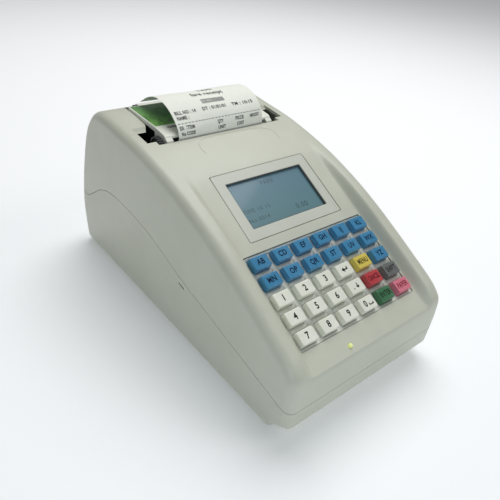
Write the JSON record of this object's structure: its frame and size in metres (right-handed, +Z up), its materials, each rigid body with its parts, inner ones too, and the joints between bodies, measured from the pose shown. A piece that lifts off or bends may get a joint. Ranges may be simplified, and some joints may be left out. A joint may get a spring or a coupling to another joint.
{
  "type": "taxi meter",
  "caption": "Desktop fare meter with a sloping keypad, a graphic display, a receipt printer under a hinged lid and a printed ticket curling from its exit.",
  "frame": {"origin": "on the table, under the centre of the machine's bounding box", "axes": "+X to the operator's right, +Y away from the operator along the machine's length, +Z up"},
  "size_m": [0.15, 0.287, 0.155],
  "materials": {
    "housing": "fine satin moulded grain, warm off-white",
    "plate": "satin, slightly paler than the housing",
    "lid": "satin off-white with a green front label",
    "key_blue": "soft gloss",
    "key_white": "soft gloss",
    "key_yellow": "soft gloss",
    "key_red": "soft gloss",
    "key_green": "soft gloss",
    "key_grey": "soft gloss",
    "key_pink": "soft gloss",
    "window": "clear pane",
    "lcd": "teal reflective display glass on a green board",
    "board": "green solder mask",
    "rubber": "matt black",
    "cell_wrap": "shrink film",
    "frame_plastic": "dark moulded plastic",
    "steel": "brushed",
    "gear_plastic": "black acetal",
    "paper": "thermal paper, smooth",
    "led_lens": "tinted lens",
    "switch_red": "black rocker"
  },
  "bodies": {
    "housing": {"base_tray": "housing", "top_cover": "housing", "keypad_plate": "plate", "dome_sheet": "rubber", "keypad_board": "board", "display_bezel": "plate", "display_window": "window", "lcd_module": "lcd", "main_board": "board", "battery_pack": "cell_wrap", "printer_frame": "frame_plastic", "print_head": "steel", "tear_bar": "steel", "stepper_motor": "steel", "hinge_pin": "steel", "power_led": "led_lens", "switch_body": "frame_plastic", "dc_jack": "frame_plastic", "foot_1": "rubber", "foot_2": "rubber", "foot_3": "rubber", "foot_4": "rubber"},
    "lid": {"paper_lid": "lid", "receipt": "paper"},
    "platen": {"platen_roller": "rubber", "platen_gear": "gear_plastic"},
    "roll": {"paper_roll": "paper"},
    "idler": {"idler_gear": "gear_plastic"},
    "pinion": {"motor_pinion": "steel"},
    "rocker": {"switch_rocker": "switch_red"},
    "key_ab": {"key_ab": "key_blue"},
    "key_cd": {"key_cd": "key_blue"},
    "key_ef": {"key_ef": "key_blue"},
    "key_gh": {"key_gh": "key_blue"},
    "key_ij": {"key_ij": "key_blue"},
    "key_kl": {"key_kl": "key_blue"},
    "key_mn": {"key_mn": "key_blue"},
    "key_op": {"key_op": "key_blue"},
    "key_qr": {"key_qr": "key_blue"},
    "key_st": {"key_st": "key_blue"},
    "key_uv": {"key_uv": "key_blue"},
    "key_wx": {"key_wx": "key_blue"},
    "key_1": {"key_1": "key_white"},
    "key_2": {"key_2": "key_white"},
    "key_3": {"key_3": "key_white"},
    "key_back": {"key_back": "key_white"},
    "key_menu": {"key_menu": "key_yellow"},
    "key_yz": {"key_yz": "key_blue"},
    "key_4": {"key_4": "key_white"},
    "key_5": {"key_5": "key_white"},
    "key_6": {"key_6": "key_white"},
    "key_point": {"key_point": "key_white"},
    "key_cancel": {"key_cancel": "key_red"},
    "key_shift": {"key_shift": "key_grey"},
    "key_7": {"key_7": "key_white"},
    "key_8": {"key_8": "key_white"},
    "key_9": {"key_9": "key_white"},
    "key_0": {"key_0": "key_white"},
    "key_enter": {"key_enter": "key_green"},
    "key_paper": {"key_paper": "key_pink"}
  },
  "joints": [
    {"name": "lid_open", "type": "hinge", "parent": "housing", "child": "lid", "pos_m": [0, 0.0965, 0.1365], "axis": [-1, 0, 0], "range_deg": [0, 90]},
    {"name": "platen_spin", "type": "hinge", "parent": "lid", "child": "platen", "pos_m": [0, 0.0425, 0.127], "axis": [1, 0, 0], "continuous": true},
    {"name": "roll_spin", "type": "hinge", "parent": "housing", "child": "roll", "pos_m": [0, 0.0735, 0.096], "axis": [1, 0, 0], "continuous": true},
    {"name": "idler_spin", "type": "hinge", "parent": "housing", "child": "idler", "pos_m": [0, 0.0375, 0.1116], "axis": [1, 0, 0], "continuous": true},
    {"name": "pinion_spin", "type": "hinge", "parent": "housing", "child": "pinion", "pos_m": [0, 0.027, 0.1044], "axis": [1, 0, 0], "continuous": true},
    {"name": "switch_rock", "type": "hinge", "parent": "housing", "child": "rocker", "pos_m": [0.046, 0.1409, 0.028], "axis": [1, 0, 0], "range_deg": [0, 16]},
    {"name": "key_ab_press", "type": "slide", "parent": "housing", "child": "key_ab", "axis": [0, 0.4633, -0.8862], "range_m": [0, 0.0025], "stiffness_N_per_m": 180, "springref_m": -0.001},
    {"name": "key_cd_press", "type": "slide", "parent": "housing", "child": "key_cd", "axis": [0, 0.4633, -0.8862], "range_m": [0, 0.0025], "stiffness_N_per_m": 180, "springref_m": -0.001},
    {"name": "key_ef_press", "type": "slide", "parent": "housing", "child": "key_ef", "axis": [0, 0.4633, -0.8862], "range_m": [0, 0.0025], "stiffness_N_per_m": 180, "springref_m": -0.001},
    {"name": "key_gh_press", "type": "slide", "parent": "housing", "child": "key_gh", "axis": [0, 0.4633, -0.8862], "range_m": [0, 0.0025], "stiffness_N_per_m": 180, "springref_m": -0.001},
    {"name": "key_ij_press", "type": "slide", "parent": "housing", "child": "key_ij", "axis": [0, 0.4633, -0.8862], "range_m": [0, 0.0025], "stiffness_N_per_m": 180, "springref_m": -0.001},
    {"name": "key_kl_press", "type": "slide", "parent": "housing", "child": "key_kl", "axis": [0, 0.4633, -0.8862], "range_m": [0, 0.0025], "stiffness_N_per_m": 180, "springref_m": -0.001},
    {"name": "key_mn_press", "type": "slide", "parent": "housing", "child": "key_mn", "axis": [0, 0.4633, -0.8862], "range_m": [0, 0.0025], "stiffness_N_per_m": 180, "springref_m": -0.001},
    {"name": "key_op_press", "type": "slide", "parent": "housing", "child": "key_op", "axis": [0, 0.4633, -0.8862], "range_m": [0, 0.0025], "stiffness_N_per_m": 180, "springref_m": -0.001},
    {"name": "key_qr_press", "type": "slide", "parent": "housing", "child": "key_qr", "axis": [0, 0.4633, -0.8862], "range_m": [0, 0.0025], "stiffness_N_per_m": 180, "springref_m": -0.001},
    {"name": "key_st_press", "type": "slide", "parent": "housing", "child": "key_st", "axis": [0, 0.4633, -0.8862], "range_m": [0, 0.0025], "stiffness_N_per_m": 180, "springref_m": -0.001},
    {"name": "key_uv_press", "type": "slide", "parent": "housing", "child": "key_uv", "axis": [0, 0.4633, -0.8862], "range_m": [0, 0.0025], "stiffness_N_per_m": 180, "springref_m": -0.001},
    {"name": "key_wx_press", "type": "slide", "parent": "housing", "child": "key_wx", "axis": [0, 0.4633, -0.8862], "range_m": [0, 0.0025], "stiffness_N_per_m": 180, "springref_m": -0.001},
    {"name": "key_1_press", "type": "slide", "parent": "housing", "child": "key_1", "axis": [0, 0.4633, -0.8862], "range_m": [0, 0.0025], "stiffness_N_per_m": 180, "springref_m": -0.001},
    {"name": "key_2_press", "type": "slide", "parent": "housing", "child": "key_2", "axis": [0, 0.4633, -0.8862], "range_m": [0, 0.0025], "stiffness_N_per_m": 180, "springref_m": -0.001},
    {"name": "key_3_press", "type": "slide", "parent": "housing", "child": "key_3", "axis": [0, 0.4633, -0.8862], "range_m": [0, 0.0025], "stiffness_N_per_m": 180, "springref_m": -0.001},
    {"name": "key_back_press", "type": "slide", "parent": "housing", "child": "key_back", "axis": [0, 0.4633, -0.8862], "range_m": [0, 0.0025], "stiffness_N_per_m": 180, "springref_m": -0.001},
    {"name": "key_menu_press", "type": "slide", "parent": "housing", "child": "key_menu", "axis": [0, 0.4633, -0.8862], "range_m": [0, 0.0025], "stiffness_N_per_m": 180, "springref_m": -0.001},
    {"name": "key_yz_press", "type": "slide", "parent": "housing", "child": "key_yz", "axis": [0, 0.4633, -0.8862], "range_m": [0, 0.0025], "stiffness_N_per_m": 180, "springref_m": -0.001},
    {"name": "key_4_press", "type": "slide", "parent": "housing", "child": "key_4", "axis": [0, 0.4633, -0.8862], "range_m": [0, 0.0025], "stiffness_N_per_m": 180, "springref_m": -0.001},
    {"name": "key_5_press", "type": "slide", "parent": "housing", "child": "key_5", "axis": [0, 0.4633, -0.8862], "range_m": [0, 0.0025], "stiffness_N_per_m": 180, "springref_m": -0.001},
    {"name": "key_6_press", "type": "slide", "parent": "housing", "child": "key_6", "axis": [0, 0.4633, -0.8862], "range_m": [0, 0.0025], "stiffness_N_per_m": 180, "springref_m": -0.001},
    {"name": "key_point_press", "type": "slide", "parent": "housing", "child": "key_point", "axis": [0, 0.4633, -0.8862], "range_m": [0, 0.0025], "stiffness_N_per_m": 180, "springref_m": -0.001},
    {"name": "key_cancel_press", "type": "slide", "parent": "housing", "child": "key_cancel", "axis": [0, 0.4633, -0.8862], "range_m": [0, 0.0025], "stiffness_N_per_m": 180, "springref_m": -0.001},
    {"name": "key_shift_press", "type": "slide", "parent": "housing", "child": "key_shift", "axis": [0, 0.4633, -0.8862], "range_m": [0, 0.0025], "stiffness_N_per_m": 180, "springref_m": -0.001},
    {"name": "key_7_press", "type": "slide", "parent": "housing", "child": "key_7", "axis": [0, 0.4633, -0.8862], "range_m": [0, 0.0025], "stiffness_N_per_m": 180, "springref_m": -0.001},
    {"name": "key_8_press", "type": "slide", "parent": "housing", "child": "key_8", "axis": [0, 0.4633, -0.8862], "range_m": [0, 0.0025], "stiffness_N_per_m": 180, "springref_m": -0.001},
    {"name": "key_9_press", "type": "slide", "parent": "housing", "child": "key_9", "axis": [0, 0.4633, -0.8862], "range_m": [0, 0.0025], "stiffness_N_per_m": 180, "springref_m": -0.001},
    {"name": "key_0_press", "type": "slide", "parent": "housing", "child": "key_0", "axis": [0, 0.4633, -0.8862], "range_m": [0, 0.0025], "stiffness_N_per_m": 180, "springref_m": -0.001},
    {"name": "key_enter_press", "type": "slide", "parent": "housing", "child": "key_enter", "axis": [0, 0.4633, -0.8862], "range_m": [0, 0.0025], "stiffness_N_per_m": 180, "springref_m": -0.001},
    {"name": "key_paper_press", "type": "slide", "parent": "housing", "child": "key_paper", "axis": [0, 0.4633, -0.8862], "range_m": [0, 0.0025], "stiffness_N_per_m": 180, "springref_m": -0.001}
  ],
  "couplings": [
    {"joint": "platen_spin", "follows": "roll_spin", "ratio": -4.2188},
    {"joint": "idler_spin", "follows": "roll_spin", "ratio": 3.7125},
    {"joint": "pinion_spin", "follows": "roll_spin", "ratio": -8.4375}
  ]
}
